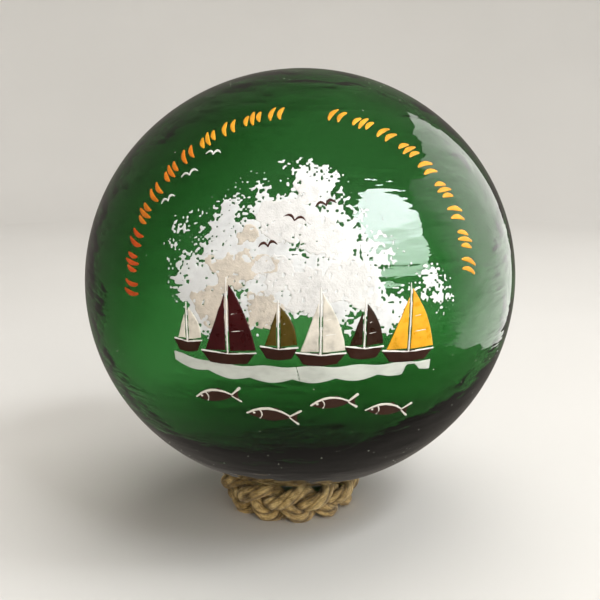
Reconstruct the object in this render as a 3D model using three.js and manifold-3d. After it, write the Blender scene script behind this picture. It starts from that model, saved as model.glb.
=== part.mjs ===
// A glass fishing float standing on its plaited rope ring.
// Millimetres, +Z up, z = 0 on the table, the painted side facing -Y.

import * as THREE from 'three';
import { ParametricGeometry } from 'three/addons/geometries/ParametricGeometry.js';
import { mergeVertices } from 'three/addons/utils/BufferGeometryUtils.js';
import Module from 'manifold-3d';

const wasm = await Module();
wasm.setup();

// Driving dimensions

const CLEARANCE = 0.35; // between the glass and the cord that carries it

const BALL = {
  diameter: 200, // across the equator
  poleRatio: 0.97, // pole to pole over equator: the blown ball is a little flat
  lean: THREE.MathUtils.degToRad(10), // the top pole leans this far towards -X
  lift: 14.1, // lowest glass above the table
  meridians: 72,
  parallels: 34,
};

const BUTTON = {
  radius: 11, // the blob of glass that closes the blowing hole
  proud: 1.6, // how far it stands out of the ball
  edge: 1.4, // rounding of its rim
  root: 4, // how deep it is fused into the ball
  sides: 30,
  rimSteps: 4, // flats round its rim's edge
};

const RING = {
  outerDiameter: 66,
  centreX: -5, // the ball stands a little to the right of the ring's middle
  leads: 3, // times that the cord runs round
  bights: 11, // scallops along each edge of the plait
  rise: 6.2, // how far the cord swings up and down from the plait's middle
  weave: 3.3, // how far it swings in and out, over and under itself
  lean: THREE.MathUtils.degToRad(22), // the plait's top edge leans outwards
  unevenness: 0.14, // the plait is this much taller on its -X side, and lower on the other
  pressed: 1.2, // how much of the cord is squashed flat on the table
  start: THREE.MathUtils.degToRad(44), // where in its swing the cord begins
};

const CORD = {
  width: 7.2, // across the cord, along the face of the plait
  thickness: 6.4, // through the cord, across the face of the plait
  slack: 0.1, // space left between two passes that touch, as a share of the cord's half width
  sides: 12,
  stepsPerBight: 16,
  halvings: 12, // how finely the common face of two crowded passes is found
};

// The ball

const equatorRadius = BALL.diameter / 2;
const poleRadius = equatorRadius * BALL.poleRatio;
const halfHeight = Math.hypot(poleRadius * Math.cos(BALL.lean), equatorRadius * Math.sin(BALL.lean));
const ballCentre = new THREE.Vector3(0, 0, BALL.lift + halfHeight);
const poleAxis = new THREE.Vector3(-Math.sin(BALL.lean), 0, Math.cos(BALL.lean));

// Distance from the ball's centre to its surface in a given direction
function ballRadiusAlong(direction) {
  const alongPole = direction.dot(poleAxis);
  const acrossPole = Math.sqrt(Math.max(0, 1 - alongPole * alongPole));
  return 1 / Math.hypot(alongPole / poleRadius, acrossPole / equatorRadius);
}

function closedGeometry(geometry) {
  geometry.deleteAttribute('normal');
  geometry.deleteAttribute('uv');
  return mergeVertices(geometry);
}

function toSolid(geometry) {
  const closed = closedGeometry(geometry);
  return new wasm.Manifold(
    new wasm.Mesh({
      numProp: 3,
      vertProperties: new Float32Array(closed.attributes.position.array),
      triVerts: new Uint32Array(closed.index.array),
    }),
  );
}

function toGeometry(solid) {
  const mesh = solid.getMesh();
  const geometry = new THREE.BufferGeometry();
  geometry.setAttribute('position', new THREE.BufferAttribute(mesh.vertProperties, mesh.numProp));
  geometry.setIndex(new THREE.BufferAttribute(mesh.triVerts, 1));
  geometry.computeVertexNormals();
  return geometry;
}

function ballGeometry() {
  const geometry = new THREE.SphereGeometry(equatorRadius, BALL.meridians, BALL.parallels);
  geometry.rotateX(Math.PI / 2);
  geometry.scale(1, 1, BALL.poleRatio);
  geometry.rotateY(-BALL.lean);
  geometry.translate(ballCentre.x, ballCentre.y, ballCentre.z);
  return geometry;
}

// A round-edged disc of glass on the underside, in the middle of the ring
function buttonGeometry() {
  const outward = new THREE.Vector3(RING.centreX, 0, -ballCentre.z).normalize();
  const surface = ballRadiusAlong(outward);
  const outline = new THREE.Path();
  outline.moveTo(0, -BUTTON.root);
  outline.lineTo(BUTTON.radius, -BUTTON.root);
  outline.lineTo(BUTTON.radius, BUTTON.proud - BUTTON.edge);
  outline.quadraticCurveTo(BUTTON.radius, BUTTON.proud, BUTTON.radius - BUTTON.edge, BUTTON.proud);
  outline.lineTo(0, BUTTON.proud);
  const geometry = new THREE.LatheGeometry(outline.getPoints(BUTTON.rimSteps), BUTTON.sides);
  geometry.translate(0, surface, 0);
  const turn = new THREE.Quaternion().setFromUnitVectors(new THREE.Vector3(0, 1, 0), outward);
  geometry.applyQuaternion(turn);
  geometry.translate(ballCentre.x, ballCentre.y, ballCentre.z);
  return geometry;
}

function floatGeometry() {
  return toGeometry(toSolid(ballGeometry()).add(toSolid(buttonGeometry())));
}

// The ring: one cord that runs round `leads` times, swinging up and down as it goes, so that its
// passes cross over and under each other as the strands of a plait do

const halfWidth = CORD.width / 2;
const halfThickness = CORD.thickness / 2;
const ringRadius = RING.outerDiameter / 2 - RING.weave - halfThickness;
const halfCordHeight = Math.hypot(halfWidth * Math.cos(RING.lean), halfThickness * Math.sin(RING.lean));

// Directions of the plait at an angle round the ring: up its face, and straight out of its face
function plaitFrame(angle) {
  const out = new THREE.Vector3(Math.cos(angle), Math.sin(angle), 0);
  const up = new THREE.Vector3(0, 0, 1);
  return {
    out,
    face: up.clone().multiplyScalar(Math.cos(RING.lean)).addScaledVector(out, Math.sin(RING.lean)),
    normal: out.clone().multiplyScalar(Math.cos(RING.lean)).addScaledVector(up, -Math.sin(RING.lean)),
  };
}

// `along` runs from 0 to 1 over the whole cord
function cordCentre(along) {
  const angle = 2 * Math.PI * RING.leads * along;
  const swing = 2 * Math.PI * RING.bights * along + RING.start;
  const rise = RING.rise * (1 - RING.unevenness * Math.cos(angle));
  const middleHeight = rise * Math.cos(RING.lean) + halfCordHeight - RING.pressed;
  const { out, face, normal } = plaitFrame(angle);
  return new THREE.Vector3(RING.centreX, 0, middleHeight)
    .addScaledVector(out, ringRadius)
    .addScaledVector(face, rise * Math.sin(swing))
    .addScaledVector(normal, RING.weave * Math.sin(2 * swing));
}

// The middle of the cord, its direction, and the wide and thin ways across it
function cordSection(along) {
  const step = 1e-4;
  const travel = cordCentre(along + step).sub(cordCentre(along - step));
  const speed = travel.length() / (2 * step);
  const direction = travel.normalize();
  const { normal } = plaitFrame(2 * Math.PI * RING.leads * along);
  const thin = normal.addScaledVector(direction, -normal.dot(direction)).normalize();
  const wide = new THREE.Vector3().crossVectors(direction, thin);
  return { centre: cordCentre(along), speed, direction, wide, thin };
}

// How far out a point lies from the pass of the cord near `along`: 0 on its middle, 1 on its surface
function outFromPass(point, along) {
  const refinements = 3;
  const offset = new THREE.Vector3();
  let place = along;
  let section;
  for (let i = 0; i < refinements; i++) {
    section = cordSection(place);
    offset.subVectors(point, section.centre);
    place += offset.dot(section.direction) / section.speed;
  }
  return Math.hypot(offset.dot(section.wide) / halfWidth, offset.dot(section.thin) / halfThickness);
}

// The places along the cord where its other passes go by a point on the pass at `along`
function otherPasses(point, along) {
  const turnFraction = Math.atan2(point.y, point.x - RING.centreX) / (2 * Math.PI);
  const places = [];
  for (let pass = 0; pass < RING.leads; pass++) {
    const place = (turnFraction + pass) / RING.leads;
    const apart = Math.abs(place - along - Math.round(place - along));
    if (apart > 0.5 / RING.leads) places.push(place);
  }
  return places;
}

// Where two passes crowd each other, both are squeezed back to a common face between them
function squeeze(point, centre, along) {
  for (const place of otherPasses(point, along)) {
    const offset = point.clone().sub(centre);
    let inner = 0;
    let outer = 1;
    const crowded = (share) => {
      const trial = centre.clone().addScaledVector(offset, share);
      return outFromPass(trial, place) < share + CORD.slack;
    };
    if (!crowded(1)) continue;
    for (let i = 0; i < CORD.halvings; i++) {
      const middle = (inner + outer) / 2;
      if (crowded(middle)) outer = middle;
      else inner = middle;
    }
    point.copy(centre).addScaledVector(offset, inner);
  }
}

// The cord is squashed flat on the table, and hollowed where the ball presses on it
function press(point) {
  point.z = Math.max(point.z, 0);
  const fromBall = point.clone().sub(ballCentre);
  const distance = fromBall.length();
  const nearest = ballRadiusAlong(fromBall.clone().divideScalar(distance)) + CLEARANCE;
  if (distance < nearest) {
    point.copy(ballCentre).addScaledVector(fromBall, nearest / distance);
  }
}

function cordSurface(alongCord, roundCord, target) {
  const along = alongCord % 1;
  const turn = 2 * Math.PI * (roundCord % 1);
  const { centre, wide, thin } = cordSection(along);
  target
    .copy(centre)
    .addScaledVector(wide, halfWidth * Math.cos(turn))
    .addScaledVector(thin, halfThickness * Math.sin(turn));
  squeeze(target, centre, along);
  press(target);
}

function ropeGeometry() {
  const steps = RING.bights * CORD.stepsPerBight;
  const geometry = closedGeometry(new ParametricGeometry(cordSurface, steps, CORD.sides));
  geometry.computeVertexNormals();
  return geometry;
}

// Assembly

function subPart(name, geometry, look) {
  const mesh = new THREE.Mesh(geometry, new THREE.MeshStandardMaterial(look));
  mesh.name = name;
  return mesh;
}

const glassFloat = new THREE.Group();
glassFloat.add(
  subPart('glass_float', floatGeometry(), { color: 0x2f7d4a, roughness: 0.04, metalness: 0 }),
  subPart('rope_ring', ropeGeometry(), { color: 0xb08f58, roughness: 0.92, metalness: 0 }),
);

export default glassFloat;
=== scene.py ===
"""The looks of a painted glass float ball on its plaited rope ring.

Metres, +Z up, the painted side facing -Y. Pictures on the glass are laid out in millimetres along
its surface: u to the viewer's right and v upwards from the middle of the painted side.
"""

import math

import bpy
import numpy as np
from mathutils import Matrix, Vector


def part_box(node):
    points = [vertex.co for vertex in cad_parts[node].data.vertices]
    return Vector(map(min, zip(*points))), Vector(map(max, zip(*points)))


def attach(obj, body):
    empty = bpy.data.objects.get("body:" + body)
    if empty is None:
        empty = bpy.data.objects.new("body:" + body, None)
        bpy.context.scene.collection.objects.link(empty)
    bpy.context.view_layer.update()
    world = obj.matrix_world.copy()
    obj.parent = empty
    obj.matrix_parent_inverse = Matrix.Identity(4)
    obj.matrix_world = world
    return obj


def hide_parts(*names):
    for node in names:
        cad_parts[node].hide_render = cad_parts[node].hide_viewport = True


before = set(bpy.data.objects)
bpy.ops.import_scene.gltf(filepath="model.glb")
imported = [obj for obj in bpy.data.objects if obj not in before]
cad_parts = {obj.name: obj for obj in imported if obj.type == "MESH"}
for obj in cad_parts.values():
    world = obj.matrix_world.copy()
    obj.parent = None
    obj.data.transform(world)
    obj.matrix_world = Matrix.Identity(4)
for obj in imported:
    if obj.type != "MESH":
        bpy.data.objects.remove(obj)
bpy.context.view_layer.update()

MM = 0.001

# The ball, as the CAD solid has it
FLOAT_LOW, FLOAT_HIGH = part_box("glass_float")
EQUATOR = (FLOAT_HIGH.y - FLOAT_LOW.y) / 2
POLE_RATIO = 0.97
LEAN = math.radians(10)
POLE = EQUATOR * POLE_RATIO
HALF_HEIGHT = math.hypot(POLE * math.cos(LEAN), EQUATOR * math.sin(LEAN))
BALL_CENTRE = np.array([0.0, 0.0, FLOAT_HIGH.z - HALF_HEIGHT])
POLE_AXIS = np.array([-math.sin(LEAN), 0.0, math.cos(LEAN)])

# The glass
SKIN = 0.42 * MM  # the modelled glass lies this far inside the CAD solid, which leaves room for paint
WALL = 3.2 * MM
WALL_FOOT = 5.4 * MM  # extra thickness at the bottom, where the glass was gathered and sealed
WALL_SIDE = 2.0 * MM  # extra thickness at the upper left, where the glass ran while it was hot
FACE_CELLS = 84  # cells along each side of the six-sided ball mesh
SEEDS = 170  # air bubbles caught in the wall

SLOW_WAVE = 0.10 * MM  # depth of the long waves in the skin
RIPPLE = 0.016 * MM  # and of the short ones
SWIRL = 0.45 * MM  # change of the wall's thickness in slow swirls
BAND = 0.10 * MM  # and in fine bands round the axis
BAND_DRIFT = 2.5 * MM  # how far a band wanders up and down
BUBBLE_WIDTHS = (0.10, 0.42)
GLASS_TINT = (0.84, 0.97, 0.86, 1)
GLASS_GREEN = (0.09, 0.55, 0.14, 1)  # what is left of light after a long way through the glass
GLASS_DENSITY = 460.0

# The seal button, on the underside in the middle of the ring
RING_X = -5 * MM  # the ring isn't quite under the middle of the ball
BUTTON_RADIUS = 11 * MM
BUTTON_PROUD = 1.6 * MM
BUTTON_EDGE = 1.8 * MM

# The ring: one cord that runs three times round, as the CAD solid has it
RING_RADIUS = 33 * MM
LEADS = 3
BIGHTS = 11
RISE = 6.2 * MM  # how far the cord swings up and down from the middle of the plait
WEAVE = 3.3 * MM  # and in and out
RING_LEAN = math.radians(22)
UNEVENNESS = 0.14
PRESSED = 1.2 * MM  # how much of the cord is squashed flat on the table
SWING_START = math.radians(44)
CORD_WIDTH = 7.2 * MM
CORD_THICKNESS = 6.4 * MM
CORD_LENGTH = 680  # about, in millimetres
CLEARANCE = 0.35 * MM

# The cord's yarns and loose fibres
CORD_STEPS = 1300
CORD_SIDES = 72
YARNS = 4
YARN_TURNS = 23  # turns of the yarns round the cord over its whole length, a whole number
FIBRES = 1050
HAIRS = 210  # of the fibres, those that stand off
FIBRE_POINTS = 13
FIBRE_SIDES = 3
FIBRE_RADII = (0.10, 0.26)
HAIR_RADII = (0.08, 0.14)

# Dust and dried splashes
SPECKS = 260

# The stage and the lamps, in metres and watts
FLOOR_RADIUS = 1.1
FLOOR_SWEEP = 0.5  # radius of the curve from the floor up to the wall
WALL_TOP = 2.2
LAMP_SPREAD = math.radians(150)
WINDOW_PLACE = (0.95, -0.70, 0.74)
WINDOW_GLOW = 21.0
WINDOW_LAMP_PLACE = (0.90, -0.66, 1.05)
SIDE_PLACE = (1.1, 0.35, 0.30)
SIDE_GLOW = 2.1
ROOM_TINT = (0.90, 0.82, 0.72, 1)
ROOM_GLOW = 0.20

# The camera
VIEW_DISTANCE = 450 * MM
VIEW_ELEVATION = math.radians(11)
VIEW_LENS = 57
VIEW_DROP = math.radians(1.33)  # it aims a little below the middle of the ball


# ---------------------------------------------------------------- numbers and noise


TINY = 1e-9  # keeps a division or a logarithm from zero


def unit(vectors):
    return vectors / np.linalg.norm(vectors, axis=-1, keepdims=True)


def smooth(x, low, high):
    t = np.clip((x - low) / (high - low), 0, 1)
    return t * t * (3 - 2 * t)


def lattice(i, j, k, seed):
    mixed = (i * 73856093) ^ (j * 19349663) ^ (k * 83492791) ^ (seed * 2654435761)
    mixed &= 0xFFFFFFFF
    mixed = ((mixed ^ (mixed >> 13)) * 1274126177) & 0xFFFFFFFF
    return ((mixed ^ (mixed >> 16)) & 0xFFFF) / 65535


def noise(points, scale, seed):
    """Smooth value noise from -1 to 1; `scale` is the size of its lumps."""
    scaled = np.asarray(points, float) / scale
    cell = np.floor(scaled).astype(np.int64)
    t = scaled - cell
    t = t * t * (3 - 2 * t)
    total = 0
    for corner in range(8):
        step = np.array([corner & 1, corner >> 1 & 1, corner >> 2])
        weight = np.prod(np.where(step, t, 1 - t), axis=-1)
        at = cell + step
        total = total + weight * lattice(at[..., 0], at[..., 1], at[..., 2], seed)
    return total * 2 - 1


def layered(points, scale, seed, octaves=4, gain=0.5):
    total, strength, reach = 0, 1.0, 0.0
    for octave in range(octaves):
        total = total + strength * noise(points, scale / 2**octave, seed + octave)
        reach += strength
        strength *= gain
    return total / reach


# ---------------------------------------------------------------- objects and materials


def make_object(name, points, faces, material, uv=None):
    mesh = bpy.data.meshes.new(name)
    mesh.from_pydata(points, [], faces)
    mesh.polygons.foreach_set("use_smooth", [True] * len(mesh.polygons))
    if uv is not None:
        corners = np.zeros(len(mesh.loops), np.int32)
        mesh.loops.foreach_get("vertex_index", corners)
        layer = mesh.uv_layers.new(name="along_cord")
        layer.data.foreach_set("uv", np.asarray(uv, np.float32)[corners].ravel())
    mesh.update()
    mesh.materials.append(material)
    made = bpy.data.objects.new(name, mesh)
    bpy.context.scene.collection.objects.link(made)
    return made


def dress(piece, slot, *replaced):
    """The piece belongs to the object: it rides on its one body, and the CAD parts it replaces are hidden.
    The slot is not used.
    """
    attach(piece, "root")
    if replaced:
        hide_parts(*replaced)
    return piece


class Shader:
    """A node material built up step by step."""

    def __init__(self, name, **values):
        self.material = bpy.data.materials.new(name)
        self.material.use_nodes = True
        self.nodes = self.material.node_tree.nodes
        self.surface = self.nodes["Principled BSDF"]
        self.output = self.nodes["Material Output"]
        for socket, value in values.items():
            self.surface.inputs[socket.replace("_", " ")].default_value = value

    def link(self, source, target):
        self.material.node_tree.links.new(source, target)

    def node(self, kind, **values):
        made = self.nodes.new(kind)
        for name, value in values.items():
            if hasattr(made, name):
                setattr(made, name, value)
            else:
                made.inputs[name.replace("_", " ")].default_value = value
        return made

    def place(self, stretch=(1, 1, 1), source="Object"):
        """Texture coordinates, stretched; the object's own coordinates are metres."""
        coordinates = self.node("ShaderNodeTexCoord")
        mapping = self.node("ShaderNodeMapping", Scale=stretch)
        self.link(coordinates.outputs[source], mapping.inputs["Vector"])
        return mapping.outputs["Vector"]

    def noise(self, where, scale, detail=4.0, roughness=0.55, distortion=0.0):
        made = self.node(
            "ShaderNodeTexNoise", Scale=scale, Detail=detail, Roughness=roughness, Distortion=distortion
        )
        self.link(where, made.inputs["Vector"])
        return made.outputs["Fac"]

    def ramp(self, factor, *stops):
        """Colours along a factor: each stop is (position, colour)."""
        made = self.node("ShaderNodeValToRGB")
        elements = made.color_ramp.elements
        while len(elements) < len(stops):
            elements.new(0.5)
        for element, (position, colour) in zip(elements, stops):
            element.position = position
            element.color = (*colour, 1)
        self.link(factor, made.inputs["Fac"])
        return made.outputs["Color"]

    def remap(self, factor, start, stop, low=0.0, high=1.0):
        """Takes `factor` from start to stop, to low to high."""
        made = self.node("ShaderNodeMapRange", From_Min=start, From_Max=stop, To_Min=low, To_Max=high)
        self.link(factor, made.inputs["Value"])
        return made.outputs["Result"]

    def math(self, operation, first, second):
        made = self.node("ShaderNodeMath", operation=operation)
        for socket, term in zip(made.inputs, (first, second)):
            if isinstance(term, (int, float)):
                socket.default_value = term
            else:
                self.link(term, socket)
        return made.outputs[0]

    def bump(self, height, distance, strength=1.0, before=None):
        made = self.node("ShaderNodeBump", Distance=distance, Strength=strength)
        self.link(height, made.inputs["Height"])
        if before is not None:
            self.link(before, made.inputs["Normal"])
        return made.outputs["Normal"]

    def set(self, socket, source):
        self.link(source, self.surface.inputs[socket])


# ---------------------------------------------------------------- the shape of the ball


def ball_radius(directions):
    """Distance from the ball's centre to the CAD surface in each direction."""
    along = directions @ POLE_AXIS
    across = np.sqrt(np.maximum(0, 1 - along**2))
    return 1 / np.hypot(along / POLE, across / EQUATOR)


def button_centre():
    return unit(np.array([RING_X, 0, -BALL_CENTRE[2]]))


def outer_radius(directions):
    """The blown skin: slow waves, all inwards from the CAD surface, and the seal button."""
    spots = directions * EQUATOR
    wave = SLOW_WAVE * (layered(spots, 46 * MM, 11, 3) - 1) / 2
    ripple = RIPPLE * (layered(spots * [1, 1, 2.5], 13 * MM, 23, 2) - 1) / 2
    from_button = np.arccos(np.clip(directions @ button_centre(), -1, 1)) * EQUATOR
    button = BUTTON_PROUD * smooth(-from_button, -BUTTON_RADIUS, BUTTON_EDGE - BUTTON_RADIUS)
    return ball_radius(directions) - SKIN + wave + ripple + button


def wall_thickness(directions):
    """Uneven, as blown glass is: thick at the foot, with slow swirls and fine bands round the axis."""
    spots = directions * EQUATOR
    foot = WALL_FOOT * smooth(-directions @ POLE_AXIS, 0.40, 1.0)
    side = WALL_SIDE * smooth(directions @ unit(np.array([-0.8, -0.1, 0.6])), 0.35, 1.0)
    swirl = SWIRL * layered(spots * [1, 1, 1.6], 52 * MM, 37, 3)
    height = directions @ POLE_AXIS * EQUATOR
    drift = BAND_DRIFT * noise(spots, 40 * MM, 41)
    bands = np.stack([spots[:, 0] * 0.12, spots[:, 1] * 0.12, height + drift], axis=1)
    return WALL + foot + side + swirl + BAND * layered(bands, 7 * MM, 43, 2)


def sphere_grid(cells):
    """Directions and outward quads of a ball made of six bulged square grids."""
    steps = np.tan(np.linspace(-1, 1, cells + 1) * math.pi / 4)  # makes the cells nearly even
    a, b = np.meshgrid(steps, steps, indexing="ij")
    points, quads, start = [], [], 0
    for axis in range(3):
        for sign in (-1, 1):
            face = np.empty((cells + 1, cells + 1, 3))
            face[..., axis] = sign
            face[..., (axis + 1) % 3] = a * sign
            face[..., (axis + 2) % 3] = b
            at = start + np.arange((cells + 1) ** 2).reshape(cells + 1, cells + 1)
            start += at.size
            points.append(face.reshape(-1, 3))
            quads.append(
                np.stack([at[:-1, :-1], at[1:, :-1], at[1:, 1:], at[:-1, 1:]], axis=-1).reshape(-1, 4)
            )
    every = unit(np.concatenate(points))
    # the six grids share the points along their borders
    _, first, same = np.unique(np.round(every, 6), axis=0, return_index=True, return_inverse=True)
    return every[first], same.ravel()[np.concatenate(quads)]


def seed_bubbles(rng):
    """Small air bubbles in the wall, drawn out round the axis. Their faces point into the air."""
    ball, quads = sphere_grid(3)
    points, faces = [], []
    for number in range(SEEDS):
        direction = unit(rng.normal(size=3))
        one = direction[None, :]
        depth = wall_thickness(one)[0] * rng.uniform(0.3, 0.7)
        middle = BALL_CENTRE + direction * (outer_radius(one)[0] - depth)
        round_axis = unit(np.cross(POLE_AXIS, direction))
        upwards = np.cross(direction, round_axis)
        size = rng.uniform(*BUBBLE_WIDTHS) ** 1.4 * MM
        stretch = rng.uniform(1.0, 2.6)
        frame_axes = np.stack([round_axis * stretch, upwards, direction * 0.8])
        faces.append(quads[:, ::-1] + number * len(ball))
        points.append(middle + ball @ frame_axes * size)
    return np.concatenate(points), np.concatenate(faces)


def glass_material():
    """Clear green glass with drawn-out waves in places and fine pits all over."""
    shader = Shader(
        "green_glass",
        Base_Color=GLASS_TINT,
        Roughness=0.015,
        IOR=1.5,
        Transmission_Weight=1.0,
    )
    absorb = shader.node("ShaderNodeVolumeAbsorption", Color=GLASS_GREEN, Density=GLASS_DENSITY)
    shader.link(absorb.outputs["Volume"], shader.output.inputs["Volume"])
    drawn = shader.noise(shader.place((1.2, 1.2, 6)), 42.0, detail=1.5)
    where = shader.remap(shader.noise(shader.place((1, 1, 2.2)), 22.0, detail=2.0), 0.42, 0.64)
    pitted = shader.noise(shader.place(), 900.0, detail=1.0)
    waves = shader.bump(shader.math("MULTIPLY", drawn, where), 0.0011, 0.6)
    shader.set("Normal", shader.bump(pitted, 0.00003, 0.08, before=waves))
    return shader.material


def make_glass():
    """The hollow ball: an outer and an inner skin, and bubbles in the wall between them."""
    rng = np.random.default_rng(7)
    directions, quads = sphere_grid(FACE_CELLS)
    outer = outer_radius(directions)
    inner = outer - wall_thickness(directions)
    outside = BALL_CENTRE + directions * outer[:, None]
    inside = BALL_CENTRE + directions * inner[:, None]
    bubbles, bubble_faces = seed_bubbles(rng)
    count = len(directions)
    faces = [*quads.tolist(), *(quads[:, ::-1] + count).tolist(), *(bubble_faces + 2 * count).tolist()]
    points = np.concatenate([outside, inside, bubbles])
    return dress(make_object("blown_glass", points, faces, glass_material()), "glass", "glass_float")


# ---------------------------------------------------------------- paint films

# The painted side faces a viewer who looks slightly down on it
ART_MIDDLE = np.array([0.0, -math.cos(VIEW_ELEVATION), math.sin(VIEW_ELEVATION)])
ART_RIGHT = np.array([1.0, 0.0, 0.0])
ART_UP = np.array([0.0, math.sin(VIEW_ELEVATION), math.cos(VIEW_ELEVATION)])
FIRST_COAT = 0.012 * MM  # gap between the glass and the underside of the first coat of paint
COAT_STEP = 0.006 * MM  # the underside of each later coat lies this much higher


def art_directions(u, v):
    """Directions from the ball's centre of places u, v millimetres from the middle of the picture."""
    reach = np.hypot(u, v)
    angle = reach * MM / EQUATOR
    safe = np.where(reach == 0, 1, reach)
    away = np.multiply.outer(u / safe, ART_RIGHT) + np.multiply.outer(v / safe, ART_UP)
    return ART_MIDDLE * np.cos(angle)[..., None] + away * np.sin(angle)[..., None]


OUTSIDE = -99.0  # a field's value far outside every shape, in millimetres


def leaning(u, v, x, y, tilt):
    """Places seen from x, y: how far along, and how far up from, a line tilted by `tilt` degrees."""
    c, s = math.cos(math.radians(tilt)), math.sin(math.radians(tilt))
    return (u - x) * c + (v - y) * s, -(u - x) * s + (v - y) * c


def capsule(u, v, a, b, start_width, end_width=None):
    """How far inside a stroke from a to b each place is, in millimetres."""
    end_width = start_width if end_width is None else end_width
    span = np.subtract(b, a)
    t = np.clip(((u - a[0]) * span[0] + (v - a[1]) * span[1]) / max(span @ span, TINY), 0, 1)
    width = start_width + (end_width - start_width) * t
    return width / 2 - np.hypot(u - a[0] - span[0] * t, v - a[1] - span[1] * t)


def stroke(u, v, points, widths):
    """A brush stroke through points; widths has one width for each point."""
    best = np.full(np.shape(u), OUTSIDE)
    for a, b, wide, next_wide in zip(points, points[1:], widths, widths[1:]):
        best = np.maximum(best, capsule(u, v, a, b, wide, next_wide))
    return best


def polygon(u, v, corners):
    """How far inside a polygon each place is; negative outside."""
    distance = np.full(np.shape(u), -OUTSIDE)
    inside = np.zeros(np.shape(u), bool)
    for a, b in zip(corners, [*corners[1:], corners[0]]):
        span = np.subtract(b, a)
        t = np.clip(((u - a[0]) * span[0] + (v - a[1]) * span[1]) / max(span @ span, TINY), 0, 1)
        distance = np.minimum(distance, np.hypot(u - a[0] - span[0] * t, v - a[1] - span[1] * t))
        if a[1] != b[1]:
            crosses = (a[1] > v) != (b[1] > v)
            inside ^= crosses & (u < a[0] + (v - a[1]) * span[0] / (b[1] - a[1]))
    return np.where(inside, distance, -distance)


def arc(a, b, bulge, count=7):
    """Points from a to b that bow out to the left of the way from a to b."""
    t = np.linspace(0, 1, count)
    span = np.subtract(b, a)
    bow = 4 * bulge * t * (1 - t)
    side = np.array([-span[1], span[0]]) / np.hypot(*span)
    return [tuple(np.add(a, span * s) + side * w) for s, w in zip(t, bow)]


# Which triangles to make of one whose corners are inside the paint or not: corner numbers 0 to 2,
# and 3 to 5 for the places where the paint's edge crosses the sides 0-1, 1-2 and 2-0
CLIPPED = {
    1: [(0, 3, 5)],
    2: [(1, 4, 3)],
    4: [(2, 5, 4)],
    3: [(0, 1, 4), (0, 4, 5)],
    6: [(1, 2, 5), (1, 5, 3)],
    5: [(2, 0, 3), (2, 3, 4)],
    7: [(0, 1, 2)],
}


LEAST_LEVEL = 1e-4  # no corner of the grid lies exactly on the paint's edge


def edge_kind(ends, wide):
    """0, 1 or 2 for a grid edge that runs along u, along v or across both."""
    gap = ends.max(-1) - ends.min(-1)
    return np.where(gap == 1, 0, np.where(gap == wide, 1, 2))


def painted_triangles(level):
    """Triangles over the part of the grid where the level is above zero, clipped at its edge."""
    corner = np.arange(level.size).reshape(level.shape)
    a, b = corner[:-1, :-1].ravel(), corner[:-1, 1:].ravel()
    c, d = corner[1:, 1:].ravel(), corner[1:, :-1].ravel()
    triangles = np.concatenate([np.stack([a, b, c], 1), np.stack([a, c, d], 1)])
    mask = (level.ravel()[triangles] > 0) @ np.array([1, 2, 4])
    made = []
    for case, pieces in CLIPPED.items():
        chosen = triangles[mask == case]
        ends = np.stack([chosen, np.roll(chosen, -1, axis=1)], axis=-1)
        edges = level.size + ends.min(-1) * 3 + edge_kind(ends, level.shape[1])
        choices = np.concatenate([chosen, edges], axis=1)
        made += [choices[:, piece] for piece in pieces]
    return np.concatenate(made)


def film(name, field, low, high, cell, top, coat, material, edge=0.25):
    """A film of paint on the glass where field(u, v), in millimetres, is above zero.

    The film is a closed skin that stands `top` mm out from the glass and thins to nothing at its
    edge, over about `edge` mm. Later coats have a higher `coat` number and a higher top. The field
    is read on a grid from `low` to `high`, each a (u, v), with cells of `cell` mm.
    """
    us = np.arange(low[0], high[0] + cell, cell)
    vs = np.arange(low[1], high[1] + cell, cell)
    u, v = np.meshgrid(us, vs)
    level = field(u, v)
    level = np.where(np.abs(level) < LEAST_LEVEL, LEAST_LEVEL, level)
    wide, total = len(us), level.size
    used, face = np.unique(painted_triangles(level), return_inverse=True)
    face = face.reshape(-1, 3)
    place_u, place_v, height = film_places(used, total, wide, u.ravel(), v.ravel(), level.ravel())
    directions = art_directions(place_u, place_v)
    base = outer_radius(directions) + FIRST_COAT + coat * COAT_STEP
    rim = used >= total
    stand = top(place_u, place_v, height) if callable(top) else top
    risen = base + np.where(rim, 0, stand * MM * (1 - np.exp(-height / edge)))
    risen = np.minimum(risen, np.maximum(ball_radius(directions), base))
    upper = BALL_CENTRE + directions * risen[:, None]
    lower = BALL_CENTRE + directions * base[:, None]
    below = np.where(rim, np.arange(len(used)), len(used) + np.cumsum(~rim) - 1)
    points = np.concatenate([upper, lower[~rim]])
    faces = np.concatenate([face, below[face][:, ::-1]])
    return dress(make_object(name, points, faces.tolist(), material), "paint")


def film_places(used, total, wide, u, v, level):
    """u, v and the level at each point: corners of the grid, and edges numbered from `total` on."""
    edge = used >= total
    first = np.where(edge, (used - total) // 3, used)
    step = np.array([1, wide, wide + 1])[np.where(edge, (used - total) % 3, 0)]
    second = np.where(edge, first + step, used)
    share = np.where(edge, level[first] / (level[first] - level[second] + (~edge)), 0)
    return (
        u[first] + (u[second] - u[first]) * share,
        v[first] + (v[second] - v[first]) * share,
        np.where(edge, 0, level[first]),
    )


def flat_noise(u, v, scale, seed, octaves=3):
    spots = np.stack([u, v, np.full(np.shape(u), 0.37)], axis=-1)
    return layered(spots, scale, seed, octaves)


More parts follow.
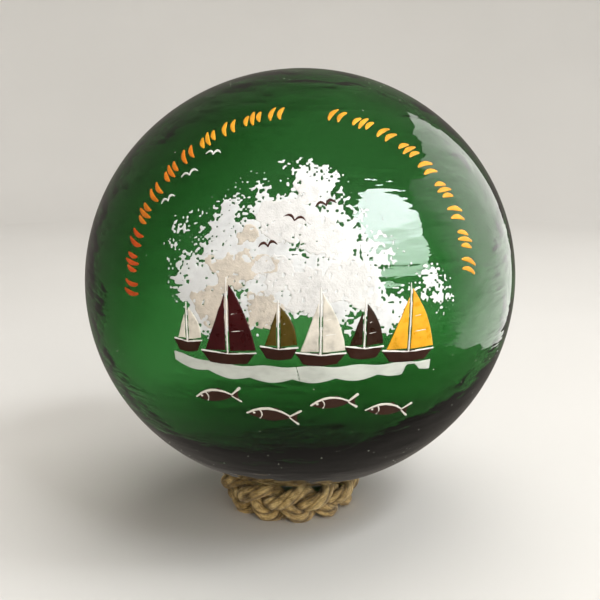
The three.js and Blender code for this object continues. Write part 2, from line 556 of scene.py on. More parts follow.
def paint_material(name, colour, streak=0.12, rough=0.38, lumps=0.00005, drag=(1, 1, 1)):
    """Brushed or dabbed paint: uneven pigment, brush marks and a soft sheen."""
    shader = Shader(name, IOR=1.5, Specular_IOR_Level=0.28)
    marks = shader.noise(shader.place(drag), 260.0, detail=5.0, roughness=0.6)
    patches = shader.noise(shader.place(), 75.0, detail=3.0)
    mixed = shader.remap(shader.math("ADD", marks, patches), 0.65, 1.35)
    dark = tuple(c * (1 - 1.6 * streak) for c in colour)
    light = tuple(min(1, c * (1 + 0.9 * streak) + 0.02 * streak) for c in colour)
    shader.set("Base Color", shader.ramp(mixed, (0.0, dark), (0.5, colour), (1.0, light)))
    shader.set("Roughness", shader.remap(marks, 0.3, 0.7, rough - 0.08, rough + 0.14))
    grain = shader.noise(shader.place(), 1500.0, detail=3.0)
    shader.set("Normal", shader.bump(grain, lumps, 0.6, before=shader.bump(marks, lumps * 2, 0.6)))
    return shader.material


# The bank of cloud: billows as (u, v, radius)
BILLOWS = [
    (-33, -8, 15), (-22, 8, 16), (-27, 24, 9), (-7, 20, 15), (2, 37, 9), (8, 22, 12),
    (-8, 0, 18), (10, -2, 17), (25, 0, 13), (31, -12, 11), (-42, 2, 8), (-14, 36, 6), (16, 9, 14),
]
# Thick daubs as (u, v, radius): the cream ones are a second, darker paint, placed on the lower left as
# painted shade of that side of the cloud
DAUBS = {
    "cream": [
        (-38, -9, 6), (-31, -14, 6), (-27, 2, 7), (-15, -12, 8), (-35, 6, 4.5), (-13, 4, 5), (-19, 16, 4),
    ],
    "white": [(-6, 22, 10), (3, 33, 5), (8, 16, 9), (-9, 1, 8), (4, -5, 10), (20, 0, 9), (26, -9, 6)],
}
SPRAY = [  # loose specks beside the cloud
    (52, 0, 8), (58, -7, 7), (47, -8, 6), (-47, 20, 6), (-42, 25, 4.5), (-51, 15, 4),
]
CLOUD_PARTS = {"left": (-66, -18), "middle": (-21, 7), "right": (4, 70)}  # from u to u, lapped


def billow(u, v, discs, softness):
    """A soft union of discs: about how far inside it each place is, in millimetres."""
    total = sum(np.exp((r - np.hypot(u - x, v - y)) / softness) for x, y, r in discs)
    return softness * np.log(np.maximum(total, TINY))


def stipple(u, v, inside, seed, soften=8.0):
    """Sponged paint: solid well inside, breaking up into specks towards the edge."""
    specks = flat_noise(u, v, 0.95, seed, 1) + 0.5 * flat_noise(u, v, 2.6, seed + 5, 2)
    return (specks + np.clip(inside / soften, -1.3, 0.62)) * 0.42


def cloud_sponged(u, v):
    """The sponged ground of the cloud, with thin places, and the spray beside it."""
    ragged = 7.0 * flat_noise(u, v, 13, 61, 3)
    thin = 5.0 * smooth(flat_noise(u, v, 17, 67, 2), 0.05, 0.6)
    main = stipple(u, v, billow(u, v, BILLOWS, 2.2) + ragged - thin - 1.0, 71)
    small = stipple(u, v, billow(u, v, SPRAY, 2.0) + 0.5 * ragged - 5.0, 83)
    return np.maximum(main, small)


def cloud_daubed(discs):
    """A field of thick daubs over the sponged ground, with pinholes."""

    def field(u, v):
        ragged = 4.5 * flat_noise(u, v, 6.5, 93, 3) + 1.2 * flat_noise(u, v, 1.6, 97, 2)
        pinholes = 6.0 * smooth(flat_noise(u, v, 1.25, 107, 1), 0.50, 0.72)
        return billow(u, v, discs, 1.6) + ragged - pinholes - 0.5

    return field


def daub_top(u, v, inside):
    """Thick lumpy paint, thickest a little inside its edge, where the sponge left a lip."""
    lumps = 0.5 + 0.5 * flat_noise(u, v, 2.2, 101, 3)
    lip = np.exp(-(((inside - 0.9) / 0.7) ** 2))
    return 0.07 + 0.08 * lumps + 0.04 * lip


def make_cloud():
    white = paint_material("sponged_white", (0.66, 0.67, 0.67), 0.12, 0.5, 0.00012)
    for coat, (part, (left, right)) in enumerate(CLOUD_PARTS.items()):

        def piece(u, v, left=left, right=right):
            return np.minimum(cloud_sponged(u, v), np.minimum(u - left, right - u))

        low, high = (left - 1, -36), (right + 1, 60)
        film(f"cloud_sponged_{part}", piece, low, high, 0.30, 0.08, coat, white)
    # the cream daubs on the lower left are also painted shade of the cloud
    cream = paint_material("daubed_cream", (0.59, 0.53, 0.45), 0.20, 0.55, 0.00035)
    thick = paint_material("daubed_white", (0.645, 0.637, 0.622), 0.14, 0.55, 0.00030)
    shaded_cream, whiter = cloud_daubed(DAUBS["cream"]), cloud_daubed(DAUBS["white"])
    film("cloud_daubed_cream", shaded_cream, (-48, -28), (0, 30), 0.36, daub_top, 3, cream)
    film("cloud_daubed_white", whiter, (-24, -26), (38, 46), 0.36, daub_top, 4, thick)


# Boats on the water: (u of the mast, height over the water, height of the sail, half length, colour)
BOATS = [
    (-45, 2.0, 13, 6.0, "cream"),
    (-28, 0.0, 27, 11.0, "maroon"),
    (-8, 2.8, 16, 7.0, "olive"),
    (8, 0.4, 23, 9.5, "cream"),
    (25, 2.6, 17, 7.5, "brown"),
    (44, 0.2, 25, 11.5, "yellow"),
]
WATERLINE = -34.0
WATER_DEPTH = 5.6  # height of the painted band
FREEBOARD = 4.2  # height of a deck over the water
PAINTS = {  # the sails' pigments
    "yellow": (0.76, 0.36, 0.012),
    "maroon": (0.045, 0.002, 0.003),
    "cream": (0.66, 0.615, 0.53),
    "olive": (0.080, 0.052, 0.003),
    "brown": (0.030, 0.010, 0.004),
}


def water_height(u):
    """The band of water is level, and turns up a little at its left end."""
    return WATERLINE + 0.0035 * np.minimum(u + 18, 0) ** 2


def deck_height(boat):
    return water_height(boat[0]) + FREEBOARD + boat[1]


def sail(u, v, boat):
    """A mainsail with a bowed edge behind the mast, and a jib before it."""
    mast, _, height, half, _ = boat
    foot = deck_height(boat) + 0.8
    main = [(mast + 0.5, foot), *arc((mast + half, foot + 0.8), (mast + 0.5, foot + height), -1.6)]
    jib = [(mast - 0.9, foot + 0.4), (mast - 0.9, foot + height * 0.86), (mast - half + 1.5, foot + 0.4)]
    return np.maximum(polygon(u, v, main), polygon(u, v, jib))


def hull(u, v, boat):
    mast, _, _, half, _ = boat
    deck = deck_height(boat)
    keel = arc((mast - half * 0.72, deck - 3.9), (mast + half * 0.68, deck - 3.9), -0.7)
    return polygon(u, v, [(mast - half - 0.6, deck + 0.9), *keel, (mast + half, deck + 0.4)])


def boat_trim(u, v, boat):
    """Mast, rail and sail battens."""
    mast, _, height, half, _ = boat
    deck = deck_height(boat)
    parts = [
        stroke(u, v, [(mast - 0.2, deck), (mast - 0.2, deck + height + 2.6)], [0.9, 0.6]),
        stroke(u, v, [(mast - half, deck + 0.9), (mast, deck - 0.1), (mast + half, deck + 0.5)], [0.8] * 3),
    ]
    for share in (0.3, 0.55):
        reach = (half - 1.5) * (1 - share)
        level = deck + 0.8 + height * share
        parts.append(stroke(u, v, [(mast + 1.8, level), (mast + reach, level + 0.5)], [0.6, 0.45]))
    return np.maximum.reduce(parts)


def wobble(u, v):
    """The unsteady edge of a line put on by hand."""
    return 0.16 * flat_noise(u, v, 3.0, 7, 2)


def each(shape, rows):
    """A field with the shape once for each row of its table."""
    return lambda u, v: np.maximum.reduce([shape(u, v, row) for row in rows]) + wobble(u, v)


def water(u, v):
    """A wavy band with a rubbed bite out of its right end and a hairline crack across it."""
    top = water_height(u) - 0.2 + 0.35 * np.sin(u / 2.9)
    scallop = np.abs(np.sin((u + 3) / 5.4))
    bottom = water_height(u) - WATER_DEPTH - 1.7 * scallop + 0.0009 * u * u
    ends = np.minimum(u + 52, 55 - u)
    band = np.minimum(np.minimum(top - v, v - bottom), ends) + wobble(u, v)
    bite = np.hypot(u - 46, (v + 40.5) * 0.8) - 4.2 + 0.8 * flat_noise(u, v, 2.0, 151, 2)
    crack = 0.16 - capsule(u, v, (-1.8, -33), (0.2, -42), 0.6)
    return np.minimum.reduce([band, bite, crack])


def make_boats():
    low, high = (-62, -46), (62, 6)
    sea = paint_material("water_grey", (0.52, 0.55, 0.50), 0.16, 0.35, drag=(0.3, 1, 1))
    film("water_band", water, low, high, 0.35, 0.09, 5, sea)
    for colour, pigment in PAINTS.items():
        boats = [boat for boat in BOATS if boat[4] == colour]
        material = paint_material(f"{colour}_paint", pigment, 0.2, 0.3)
        around = (boats[0][0] - 13, -40), (boats[-1][0] + 13, 4)
        film(f"{colour}_sail", each(sail, boats), *around, 0.28, 0.27, 6, material, edge=0.12)
    dark = paint_material("hull_brown", (0.034, 0.009, 0.004), 0.2, 0.34)
    white = paint_material("trim_white", (0.72, 0.70, 0.66), 0.08, 0.36)
    film("boat_hulls", each(hull, BOATS), (-54, -38), (60, -20), 0.3, 0.29, 7, dark, edge=0.12)
    film("boat_trim", each(boat_trim, BOATS), low, high, 0.24, 0.38, 8, white, edge=0.12)


# Small fish under the boats: (u, v, length, tilt in degrees)
FISH = [(-34, -49, 20, 8), (-11, -57, 22, -5), (14, -51, 19, 4), (38, -57, 21, -8)]


def fish_frame(u, v, fish):
    """Places as shares of the fish's length, with its nose at -0.5 and the tips of its tail at 0.5."""
    x, y, length, tilt = fish
    along, up = leaning(u, v, x, y, tilt)
    return along / length, up / length, length


def fish_body(u, v, fish):
    """A filled body with a forked tail and a fin on its back."""
    along, up, length = fish_frame(u, v, fish)
    nose, root = (-0.5, 0.0), (0.33, 0.015)
    body = polygon(along, up, [*arc(nose, root, 0.14), *arc((0.33, -0.015), nose, 0.115)])
    fork = [(0.29, 0.0), (0.5, 0.16), (0.445, 0.02), (0.445, -0.02), (0.48, -0.15)]
    fin = [(-0.12, 0.12), (0.03, 0.20), (0.10, 0.185), (0.13, 0.085)]
    return np.maximum.reduce([body, polygon(along, up, fork), polygon(along, up, fin)]) * length


def fish_lines(u, v, fish):
    """A light back, light edges to the fork of the tail, the gill and the eye."""
    along, up, length = fish_frame(u, v, fish)
    fine = 0.95 / length
    back = arc((-0.5, 0.0), (0.31, 0.02), 0.145)
    gill = arc((-0.25, -0.09), (-0.25, 0.09), -0.035)
    parts = [
        stroke(along, up, back, [fine * 0.8, fine, fine * 1.3, fine * 1.4, fine * 1.2, fine, fine * 0.8]),
        stroke(along, up, [(0.31, 0.02), (0.5, 0.16)], [fine * 0.8, fine * 1.3]),
        stroke(along, up, [(0.31, -0.01), (0.48, -0.15)], [fine * 0.7, fine * 1.1]),
        stroke(along, up, gill, [fine * 0.6] * 3 + [fine * 0.9] * 4),
        capsule(along, up, (-0.37, 0.025), (-0.365, 0.025), fine * 1.3),
    ]
    return np.maximum.reduce(parts) * length


def make_fish():
    low, high = (-47, -68), (52, -40)
    dark = paint_material("fish_brown", (0.042, 0.016, 0.009), 0.25, 0.38)
    white = paint_material("fish_white", (0.68, 0.64, 0.58), 0.1, 0.36)
    film("fish_bodies", each(fish_body, FISH), low, high, 0.3, 0.06, 3, dark)
    film("fish_lines", each(fish_lines, FISH), low, high, 0.22, 0.15, 4, white)


# Flying birds, each two curved flicks of the brush: (u, v, span, tilt, colour)
BIRDS = [
    (-47, 44, 8, 14, "white"), (-37, 53, 7, -8, "white"), (-56, 33, 7, 20, "white"),
    (-2, 22, 9, -16, "brown"), (10, 28, 8, 10, "brown"), (-12, 12, 7, 4, "brown"),
]


def bird(u, v, flick):
    x, y, span, tilt, _ = flick
    along, up = leaning(u, v, x, y, tilt)
    left = arc((-span / 2, 0), (0, -0.4), 1.5)
    right = arc((0, -0.4), (span / 2, 0.3), 1.7)
    widths = [0.35, 0.7, 1.0, 1.15, 1.0, 0.8, 0.5]
    return np.maximum(stroke(along, up, left, widths), stroke(along, up, right, widths[::-1]))


def make_birds():
    for colour, pigment in (("white", (0.72, 0.71, 0.68)), ("brown", (0.055, 0.014, 0.008))):
        flock = [flick for flick in BIRDS if flick[4] == colour]
        low = min(f[0] for f in flock) - 6, min(f[1] for f in flock) - 4
        high = max(f[0] for f in flock) + 6, max(f[1] for f in flock) + 5
        material = paint_material(f"bird_{colour}", pigment, 0.12, 0.35)
        film(f"birds_{colour}", each(bird, flock), low, high, 0.25, 0.36, 9, material, edge=0.15)


# The arc of marks over the picture: two runs of slanting brush dabs, with a gap at the top
ARC_RADIUS = 74.0
ARC_RUNS = [(183, 98, 11), (77, 4, 9)]  # first and last angle in degrees, and how many marks
MARK_HEIGHT = 7.6
MARK_MARGIN = 7
MARK_KINDS = [  # each dab: where its foot and its head are, with heights as shares, and its bow
    [(-3.2, -1, -0.6, 1, 0.9), (0.9, -1, 3.3, 0.8, 0.9)],
    [(-3.7, -0.8, -1.9, 0.6, 0.6), (-0.7, -1, 1.2, 1, 0.6), (2.3, -0.7, 4.0, 0.7, 0.6)],
]


def arc_place(angle):
    return ARC_RADIUS * math.cos(math.radians(angle)), ARC_RADIUS * math.sin(math.radians(angle))


def arc_mark(u, v, angle, kind):
    """One mark: a leaning pair of dabs, or three short ones; none of them is a letter."""
    along, up = leaning(u, v, *arc_place(angle), angle - 90)
    half = MARK_HEIGHT / 2
    widths = [1.0, 1.7, 2.1, 2.3, 2.2, 1.8, 1.2]
    dabs = [
        stroke(along, up, arc((foot, half * low), (head, half * high), bow), widths)
        for foot, low, head, high, bow in MARK_KINDS[kind]
    ]
    return np.maximum.reduce(dabs)


def make_arc_marks():
    """Golden at the top and redder low on the left, as the brush ran from one pot to the other."""
    marks = []
    for first, last, count in ARC_RUNS:
        marks += [(angle, n % 2) for n, angle in enumerate(np.linspace(first, last, count))]
    shades = {
        "red_orange": ((0.56, 0.075, 0.006), [m for m in marks if m[0] > 160]),
        "orange": ((0.62, 0.17, 0.010), [m for m in marks if 125 < m[0] <= 160]),
        "golden": ((0.70, 0.30, 0.016), [m for m in marks if m[0] <= 125]),
    }
    for shade, (pigment, chosen) in shades.items():
        material = paint_material(f"{shade}_paint", pigment, 0.22, 0.34)

        def run(u, v, chosen=chosen):
            return np.maximum.reduce([arc_mark(u, v, *mark) for mark in chosen]) + wobble(u, v)

        across, upwards = zip(*[arc_place(angle) for angle, _ in chosen])
        low = min(across) - MARK_MARGIN, min(upwards) - MARK_MARGIN
        high = max(across) + MARK_MARGIN, max(upwards) + MARK_MARGIN
        film(f"arc_marks_{shade}", run, low, high, 0.3, 0.16, 1, material)


# ---------------------------------------------------------------- the rope ring

HALF_WIDTH = CORD_WIDTH / 2
HALF_THICKNESS = CORD_THICKNESS / 2
PLAIT_RADIUS = RING_RADIUS - WEAVE - HALF_THICKNESS
CORD_HALF_HEIGHT = math.hypot(HALF_WIDTH * math.cos(RING_LEAN), HALF_THICKNESS * math.sin(RING_LEAN))
REFINEMENTS = 3  # steps towards the nearest place on a pass of the cord
HALVINGS = 8  # and towards the face that two passes share


def plait_frame(angle):
    """At an angle round the ring: outwards, and the ways up along its band and out from it."""
    flat = np.zeros_like(angle)
    out = np.stack([np.cos(angle), np.sin(angle), flat], axis=-1)
    up = np.array([0.0, 0.0, 1.0])
    face = up * math.cos(RING_LEAN) + out * math.sin(RING_LEAN)
    normal = out * math.cos(RING_LEAN) - up * math.sin(RING_LEAN)
    return out, face, normal


def cord_centre(along):
    """`along` runs from 0 to 1 over the whole cord."""
    angle = 2 * math.pi * LEADS * along
    swing = 2 * math.pi * BIGHTS * along + SWING_START
    rise = RISE * (1 - UNEVENNESS * np.cos(angle))
    middle = rise * math.cos(RING_LEAN) + CORD_HALF_HEIGHT - PRESSED
    out, face, normal = plait_frame(angle)
    base = np.stack([np.full_like(middle, RING_X), np.zeros_like(middle), middle], axis=-1)
    return (
        base
        + out * PLAIT_RADIUS
        + face * (rise * np.sin(swing))[..., None]
        + normal * (WEAVE * np.sin(2 * swing))[..., None]
    )


def cord_section(along):
    """The cord's middle, speed and direction, and the ways its width and thickness lie."""
    step = 1e-4
    travel = cord_centre(along + step) - cord_centre(along - step)
    length = np.linalg.norm(travel, axis=-1)
    direction = travel / length[..., None]
    normal = plait_frame(2 * math.pi * LEADS * along)[2]
    thin = unit(normal - direction * np.sum(normal * direction, axis=-1)[..., None])
    wide = np.cross(direction, thin)
    return cord_centre(along), length / (2 * step), direction, wide, thin


def out_from_pass(points, along):
    """How far out points lie from the pass of the cord near `along`: 1 is on its surface."""
    place = along
    for _ in range(REFINEMENTS):
        centre, speed, direction, wide, thin = cord_section(place)
        offset = points - centre
        place = place + np.sum(offset * direction, axis=-1) / speed
    across = np.sum(offset * wide, axis=-1) / HALF_WIDTH
    through = np.sum(offset * thin, axis=-1) / HALF_THICKNESS
    return np.hypot(across, through)


def squeeze(points, centre, along, slack=0.03):
    """Where two passes of the cord crowd each other, both give way to a common face."""
    turns = np.arctan2(points[:, 1], points[:, 0] - RING_X) / (2 * math.pi)
    for shift in range(1, LEADS):
        own = np.round(along * LEADS - turns)
        place = (turns + own + shift) / LEADS
        inner, outer = np.zeros(len(points)), np.ones(len(points))
        crowded = out_from_pass(points, place) < 1 + slack
        for _ in range(HALVINGS):
            middle = (inner + outer) / 2
            trial = centre + (points - centre) * middle[:, None]
            close = out_from_pass(trial, place) < middle + slack
            outer = np.where(close, middle, outer)
            inner = np.where(close, inner, middle)
        share = np.where(crowded, inner, 1)
        points = centre + (points - centre) * share[:, None]
    return points


def press(points):
    """The cord is flat where it lies on the table and hollowed where the ball sits on it."""
    points[:, 2] = np.maximum(points[:, 2], 0)
    away = points - BALL_CENTRE
    distance = np.linalg.norm(away, axis=1)
    nearest = ball_radius(away / distance[:, None]) + 0.3 * CLEARANCE
    push = np.where(distance < nearest, nearest / distance, 1)
    return BALL_CENTRE + away * push[:, None]


def cord_place(along, turn, reach=1.0):
    """Places on the cord's surface, or `reach` times as far out from its middle."""
    centre, _, _, wide, thin = cord_section(along)
    points = (
        centre
        + wide * (HALF_WIDTH * reach * np.cos(turn))[..., None]
        + thin * (HALF_THICKNESS * reach * np.sin(turn))[..., None]
    )
    return press(squeeze(points, centre, along))


def yarn_relief(along, turn):
    """Loosely laid yarns: rounded ridges with sharp valleys, and fibres along them."""
    lay = turn - 2 * math.pi * YARN_TURNS * along
    ridge = np.abs(np.cos(YARNS * lay / 2 + 0.5 * np.sin(2 * math.pi * 7 * along)))
    reach = along * CORD_LENGTH
    loop = np.stack([np.cos(lay) * 3.4, np.sin(lay) * 3.4, reach / 9.0], axis=-1)
    fibres = layered(loop, 0.42, 131, 2)
    tufts = layered(loop * [0.6, 0.6, 2.0], 1.3, 139, 2)
    return 0.80 + 0.20 * ridge**0.6 + 0.06 * fibres + 0.06 * tufts


def rope_material(name, dark, middle, light):
    """Dry plant fibre, finely streaked along the cord, and darkened by a point attribute: painted shade on
    the cord, a random tone on the loose fibres.
    """
    shader = Shader(name, IOR=1.45, Roughness=0.8, Sheen_Weight=0.2, Sheen_Roughness=0.4)
    fine = shader.noise(shader.place((34, 1.4, 1), "UV"), 3.0, detail=5.0, roughness=0.65)
    patches = shader.noise(shader.place(), 190.0, detail=4.0, roughness=0.6)
    # painted shade in the cord's valleys and squeezed places, and a random tone for each loose fibre,
    # darken the colour
    shade_and_tone = shader.node("ShaderNodeAttribute", attribute_name="shade_and_tone").outputs["Fac"]
    mixed = shader.math("ADD", shader.remap(fine, 0.3, 0.7), shader.remap(patches, 0.3, 0.7))
    shade = shader.math("MULTIPLY", shader.remap(mixed, 0.25, 1.75), shade_and_tone)
    shader.set("Base Color", shader.ramp(shade, (0.06, dark), (0.42, middle), (0.85, light)))
    shader.set("Roughness", shader.remap(fine, 0.3, 0.7, 0.62, 0.95))
    shader.set("Normal", shader.bump(fine, 0.0005, 0.9))
    return shader.material


def mark_shade_and_tone(piece, shade_and_tone):
    """Painted shade and tone for each point: on the cord, 1 on the outside of the yarns and low in their
    valleys and where the cord is squeezed, as painted shade; on loose fibres, a random tone for each fibre,
    lighter for the hairs.
    """
    piece.data.attributes.new("shade_and_tone", "FLOAT", "POINT").data.foreach_set("value", shade_and_tone)


def make_cord():
    steps = np.arange(CORD_STEPS) / CORD_STEPS
    turns = 2 * math.pi * np.arange(CORD_SIDES) / CORD_SIDES
    along, turn = [grid.ravel() for grid in np.meshgrid(steps, turns, indexing="ij")]
    relief = yarn_relief(along, turn)
    points = cord_place(along, turn, relief)
    index = np.arange(CORD_STEPS * CORD_SIDES).reshape(CORD_STEPS, CORD_SIDES)
    next_step, next_side = np.roll(index, -1, axis=0), np.roll(index, -1, axis=1)
    both = np.roll(next_step, -1, axis=1)
    faces = np.stack([index, next_step, both, next_side], axis=-1).reshape(-1, 4)
    uv = np.stack([turn / (2 * math.pi), along * CORD_LENGTH / 21], axis=-1)
    material = rope_material("hemp", (0.045, 0.022, 0.007), (0.46, 0.30, 0.10), (0.95, 0.73, 0.34))
    cord = make_object("plaited_cord", points, faces.tolist(), material, uv)
    reach = np.linalg.norm(points - cord_centre(along), axis=1) / HALF_WIDTH
    # painted shade: darker in the yarns' valleys and where the cord is squeezed by its other passes, the
    # ball or the table
    mark_shade_and_tone(cord, (smooth(relief, 0.78, 1.0) * 0.65 + 0.35) * (0.35 + 0.65 * smooth(reach, 0.45, 0.9)))
    return dress(cord, "rope", "rope_ring")


def tubes(paths, radii):
    """Thin closed tubes along point lists, tapered towards both ends."""
    points, faces, uv, start = [], [], [], 0
    sides = FIBRE_SIDES
    turn = 2 * math.pi * np.arange(sides) / sides
    for path, radius in zip(paths, radii):
        path = np.asarray(path)
        count = len(path)
        direction = unit(np.gradient(path, axis=0))
        side = unit(np.cross(direction, [0.3, 0.2, 0.93]))
        other = np.cross(direction, side)
        taper = np.minimum(1, np.linspace(0.35, 3.0, count)) * np.linspace(1, 0.35, count)
        thin = radius * taper
        ring = (
            path[:, None, :]
            + side[:, None, :] * (thin[:, None] * np.cos(turn))[..., None]
            + other[:, None, :] * (thin[:, None] * np.sin(turn))[..., None]
        )
        points.append(ring.reshape(-1, 3))
        at = start + np.arange(count * sides).reshape(count, sides)
        around = np.roll(at, -1, axis=1)
        faces += np.stack([at[:-1], around[:-1], around[1:], at[1:]], -1).reshape(-1, 4).tolist()
        faces += [at[0, ::-1].tolist(), at[-1].tolist()]
        uv.append(np.repeat(np.linspace(0, 3, count), sides)[:, None] * [0.05, 1.0])
        start += count * sides
    return np.concatenate(points), faces, np.concatenate(uv)


def make_fibres():
    """Fibres that have worked loose: most lie along the cord, and a few stand off as hairs."""
    rng = np.random.default_rng(29)
    paths, radii = [], []
    for number in range(FIBRES):
        start, turn = rng.uniform(0, 1), rng.uniform(0, 2 * math.pi)
        length = rng.uniform(6, 24) / CORD_LENGTH
        t = np.linspace(0, 1, FIBRE_POINTS)
        along = start + t * length
        lay = turn + 2 * math.pi * YARN_TURNS * (along - start) + rng.normal(0, 0.7) * t
        lay = lay + 0.12 * np.sin(t * rng.uniform(4, 12) + rng.uniform(0, 6))
        reach = 0.975 + 0.05 * np.sin(math.pi * t * rng.uniform(1, 3))
        path = cord_place(along % 1, lay, reach)
        if number < HAIRS:
            centre = cord_section(along % 1)[0]
            away = unit(path - centre) + rng.normal(0, 0.45, 3)
            lift = rng.uniform(0.6, 3.2) * MM * t**1.6
            curl = rng.normal(0, 1, 3) * 1.1 * MM * np.sin(t * rng.uniform(3, 9))[:, None]
            path = path + away * lift[:, None] + curl * (t**1.5)[:, None]
        paths.append(keep_clear(path))
        radii.append(rng.uniform(*(HAIR_RADII if number < HAIRS else FIBRE_RADII)) * MM)
    points, faces, uv = tubes(paths, radii)
    material = rope_material("loose_fibre", (0.13, 0.08, 0.03), (0.46, 0.32, 0.14), (0.85, 0.70, 0.42))
    fibres = make_object("loose_fibres", points, faces, material, uv)
    shades = rng.uniform(0.35, 1.0, FIBRES) + 0.3 * (np.arange(FIBRES) < HAIRS)
    mark_shade_and_tone(fibres, np.repeat(shades, FIBRE_POINTS * FIBRE_SIDES))
    return dress(fibres, "rope", "rope_ring")


def keep_clear(path):
    """Hairs stay above the table and outside the glass."""
    margin = 0.25 * MM
    path[:, 2] = np.maximum(path[:, 2], margin)
    away = path - BALL_CENTRE
    distance = np.linalg.norm(away, axis=1)
    nearest = ball_radius(away / distance[:, None]) + margin
    path = BALL_CENTRE + away * np.maximum(1, nearest / distance)[:, None]
    path[:, 2] = np.maximum(path[:, 2], margin)
    return path


# ---------------------------------------------------------------- dust on the glass


def make_dust():
    """Grains of dust and dried splashes, mostly on the low front and the crown of the ball."""
    rng = np.random.default_rng(53)
    grain, quads = sphere_grid(2)
    points, faces, count = [], [], 0
    while count < SPECKS:
        direction = unit(rng.normal(size=3))
        low_front = direction[1] < -0.3 and -0.75 < direction[2] < -0.1
        if not (low_front or direction[2] > 0.8 or rng.uniform() < 0.12):
            continue
        side = unit(np.cross(direction, rng.normal(size=3)))
        size = rng.uniform(0.05, 0.20) * MM
        axes = np.stack([side * rng.uniform(1, 2.2), np.cross(direction, side), direction * 0.5]) * size
        middle = BALL_CENTRE + direction * (outer_radius(direction[None, :])[0] + 0.3 * size)
        faces.append(quads + count * len(grain))
        points.append(middle + grain @ axes)
        count += 1
    points, faces = np.concatenate(points), np.concatenate(faces).tolist()
    material = paint_material("dust", (0.50, 0.52, 0.42), 0.2, 0.8)
    return dress(make_object("dust_specks", points, faces, material), "paint")


# ---------------------------------------------------------------- stage, light and camera


def turned(name, profile, material, sides=96):
    """A surface of revolution about the Z axis through (radius, height) points."""
    turn = 2 * math.pi * np.arange(sides) / sides
    points = [(r * math.cos(a), r * math.sin(a), z) for r, z in profile for a in turn]
    faces = []
    for row in range(len(profile) - 1):
        inner, outer = row * sides, (row + 1) * sides
        for i in range(sides):
            after = (i + 1) % sides
            faces.append((inner + i, outer + i, outer + after, inner + after))
    made = make_object(name, points, faces, material)
    return made


def make_stage():
    """A round pale floor that sweeps up into a low wall, well clear of every camera."""
    shader = Shader("pale_floor", Roughness=0.85, Specular_IOR_Level=0.2)
    tone = shader.noise(shader.place(), 3.0, detail=2.0)
    shader.set("Base Color", shader.ramp(tone, (0.0, (0.60, 0.585, 0.56)), (1.0, (0.66, 0.645, 0.62))))
    flat = [(0.0, 0.0), (0.15, 0.0), (0.5, 0.0), (FLOOR_RADIUS, 0.0)]
    floor = turned("studio_floor", flat, shader.material)
    bend = [
        (FLOOR_RADIUS + FLOOR_SWEEP * math.sin(a), FLOOR_SWEEP * (1 - math.cos(a)))
        for a in np.linspace(0, math.pi / 2, 14)
    ]
    wall = turned("studio_wall", [*bend, (FLOOR_RADIUS + FLOOR_SWEEP, WALL_TOP)], shader.material)
    floor.visible_glossy = wall.visible_glossy = False  # the glass mirrors a dimmer room


def aim(made, place):
    """Puts a lamp or a panel in its place, facing the ball."""
    made.location = place
    made.rotation_euler = (Vector(BALL_CENTRE) - Vector(place)).to_track_quat("-Z", "Y").to_euler()


def soft_fill(name, place, size, power, colour):
    """A large soft lamp that leaves no reflection of its own in the glass."""
    lamp = bpy.data.lights.new(name, "AREA")
    lamp.size, lamp.energy, lamp.color = size, power, colour
    lamp.spread = LAMP_SPREAD
    made = bpy.data.objects.new(name, lamp)
    aim(made, place)
    made.visible_camera = made.visible_glossy = made.visible_transmission = False
    bpy.context.scene.collection.objects.link(made)


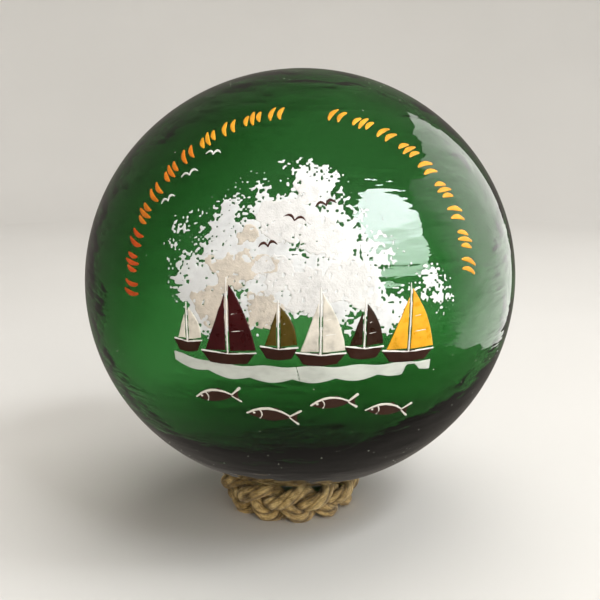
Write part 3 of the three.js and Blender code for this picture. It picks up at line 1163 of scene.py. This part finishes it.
def light_panel(name, outline, place, strength, axis, *stops):
    """A glowing panel that is only seen reflected, shaded along its own X or Y."""
    count = len(outline)
    points = [(0.0, 0.0, 0.0), *[(x, y, 0.0) for x, y in outline]]
    faces = [(0, 1 + (i + 1) % count, 1 + i) for i in range(count)]
    black = (0, 0, 0, 1)
    shader = Shader(f"{name}_light", Base_Color=black, Roughness=1.0, Emission_Strength=strength)
    split = shader.node("ShaderNodeSeparateXYZ")
    shader.link(shader.place(), split.inputs[0])
    ends = [point["XY".index(axis)] for point in outline]
    across = shader.remap(split.outputs[axis], min(ends), max(ends))
    shader.set("Emission Color", shader.ramp(across, *stops))
    panel = make_object(name, points, faces, shader.material)
    aim(panel, place)
    panel.visible_camera = panel.visible_transmission = panel.visible_diffuse = False


def make_window():
    """The main light is a tall window with a slanting head, brightest in its upper part."""
    outline = [(-0.40, -0.56), (0.34, -0.56), (0.34, 0.20), (0.04, 0.62), (-0.40, 0.34)]
    stops = (0.0, (0.34, 0.44, 0.36)), (0.38, (0.52, 0.62, 0.56)), (0.60, (0.92, 0.98, 1.0))
    light_panel("window_panel", outline, WINDOW_PLACE, WINDOW_GLOW, "Y", *stops)
    soft_fill("window_light", WINDOW_LAMP_PLACE, 0.9, 29, (0.95, 0.98, 1.0))


def make_side_panel():
    """A tall dim reflector at the right draws a pale band along that side of the glass."""
    outline = [(-0.85, -0.8), (0.85, -0.8), (0.85, 0.8), (-0.85, 0.8)]
    stops = (0.0, (0.0, 0.0, 0.0)), (0.45, (1.0, 0.98, 0.94))
    light_panel("side_panel", outline, SIDE_PLACE, SIDE_GLOW, "X", *stops)


def make_lights():
    make_window()
    make_side_panel()
    soft_fill("room_fill", (0.60, -1.10, 0.62), 0.8, 4.8, (1.0, 0.93, 0.86))
    soft_fill("ceiling_fill", (0.2, 0.3, 1.7), 1.6, 17, (1.0, 0.98, 0.95))
    world = bpy.data.worlds.new("soft_room")
    world.use_nodes = True
    room = world.node_tree.nodes["Background"]
    room.inputs["Color"].default_value = ROOM_TINT
    room.inputs["Strength"].default_value = ROOM_GLOW
    bpy.context.scene.world = world


def make_camera():
    """The photo's view, from a little above the ball's middle."""
    data = bpy.data.cameras.new("photo_view")
    data.lens = VIEW_LENS
    camera = bpy.data.objects.new("photo_view", data)
    camera.location = BALL_CENTRE + ART_MIDDLE * VIEW_DISTANCE
    camera.rotation_euler = (math.pi / 2 - VIEW_ELEVATION - VIEW_DROP, 0, 0)
    bpy.context.scene.collection.objects.link(camera)
    bpy.context.scene.camera = camera


make_camera()
make_stage()
make_lights()
make_glass()
make_cloud()
make_boats()
make_fish()
make_birds()
make_arc_marks()
make_dust()
make_cord()
make_fibres()

bpy.context.scene.view_settings.view_transform = "Standard"
